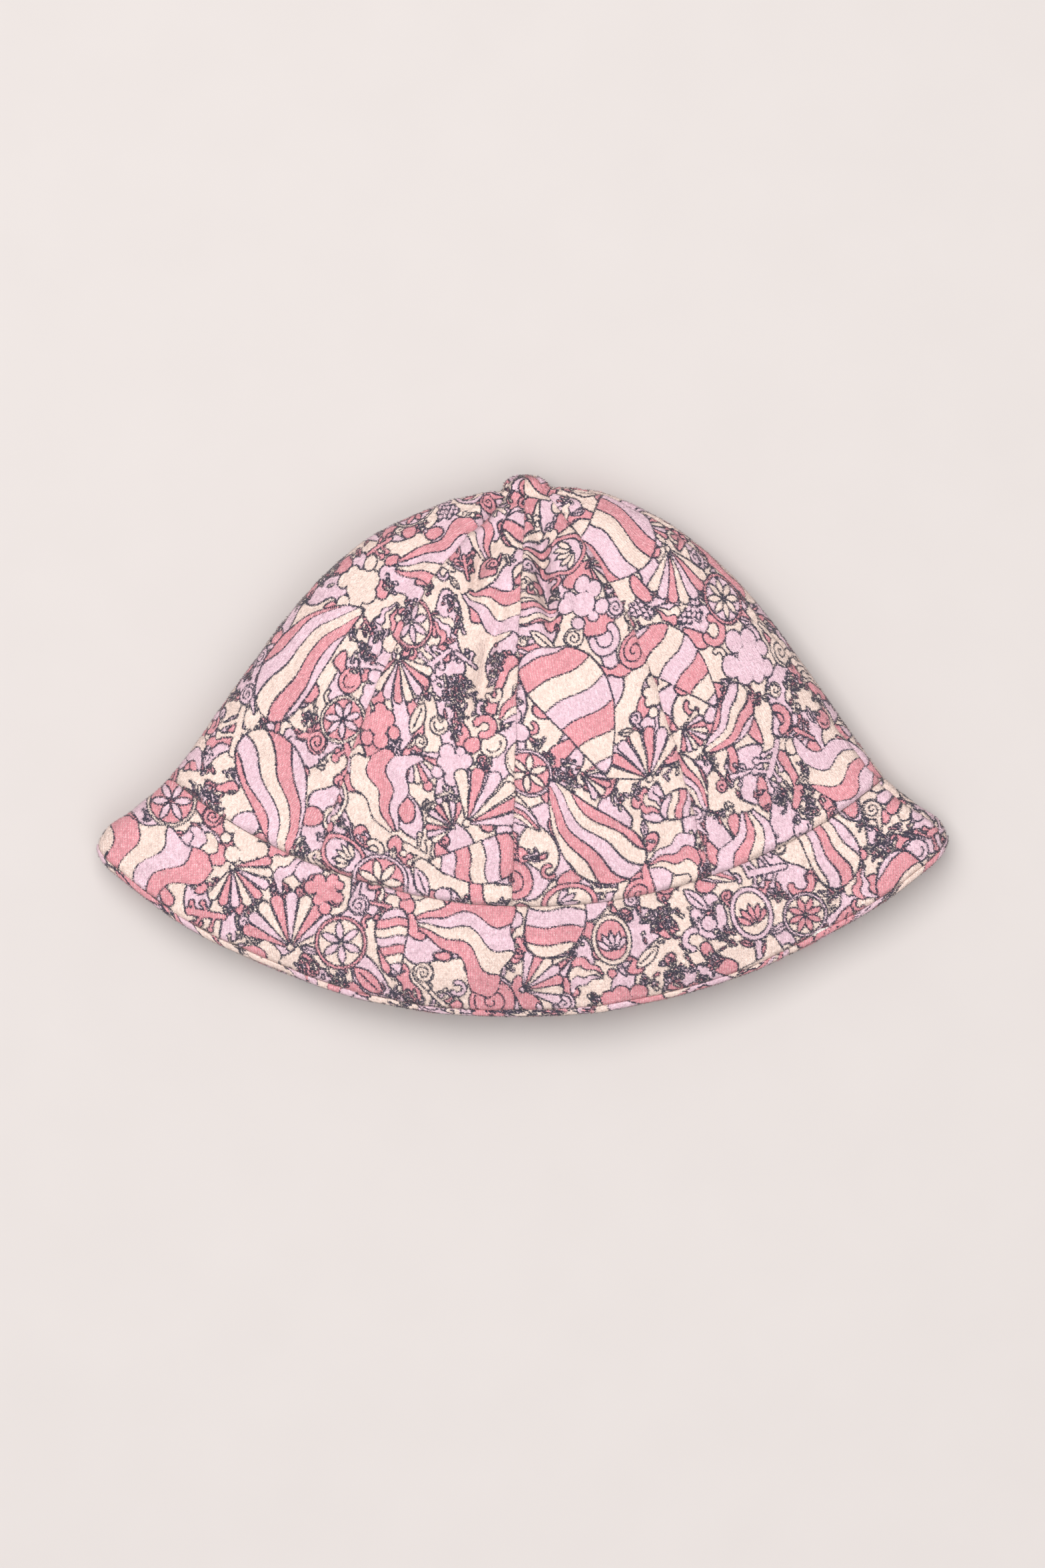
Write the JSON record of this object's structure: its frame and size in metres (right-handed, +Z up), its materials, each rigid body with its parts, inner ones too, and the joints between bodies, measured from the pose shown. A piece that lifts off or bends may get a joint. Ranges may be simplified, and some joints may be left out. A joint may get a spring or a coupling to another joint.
{
  "type": "bucket hat",
  "caption": "Small child's soft bucket hat in printed knit velour, lying on its back: gored crown, double brim, lining, inner band, care label and crown tack.",
  "frame": {"origin": "bottom centre of the hat's box, on the surface that the hat lies on", "axes": "+X across the hat from tip to tip of the brim, +Y from the open end to the point of the crown, +Z up from the surface"},
  "size_m": [0.285, 0.181, 0.05],
  "materials": {
    "printed_velour": "matte short pile",
    "lining_jersey": "matte knit",
    "interlining": "matte non-woven",
    "band_twill": "matte twill",
    "label_satin": "satin",
    "tack_thread": "thread"
  },
  "bodies": {
    "root": {"crown_gore_1": "printed_velour", "crown_gore_2": "printed_velour", "crown_gore_3": "printed_velour", "crown_gore_4": "printed_velour", "crown_gore_5": "printed_velour", "crown_gore_6": "printed_velour", "crown_gore_7": "printed_velour", "crown_gore_8": "printed_velour", "brim_top_front": "printed_velour", "brim_top_back": "printed_velour", "brim_under_front": "printed_velour", "brim_under_back": "printed_velour", "lining_gore_1": "lining_jersey", "lining_gore_2": "lining_jersey", "lining_gore_3": "lining_jersey", "lining_gore_4": "lining_jersey", "lining_gore_5": "lining_jersey", "lining_gore_6": "lining_jersey", "lining_gore_7": "lining_jersey", "lining_gore_8": "lining_jersey", "brim_interlining_front": "interlining", "brim_interlining_back": "interlining", "inner_band": "band_twill", "care_label": "label_satin", "crown_tack": "tack_thread"}
  },
  "joints": []
}
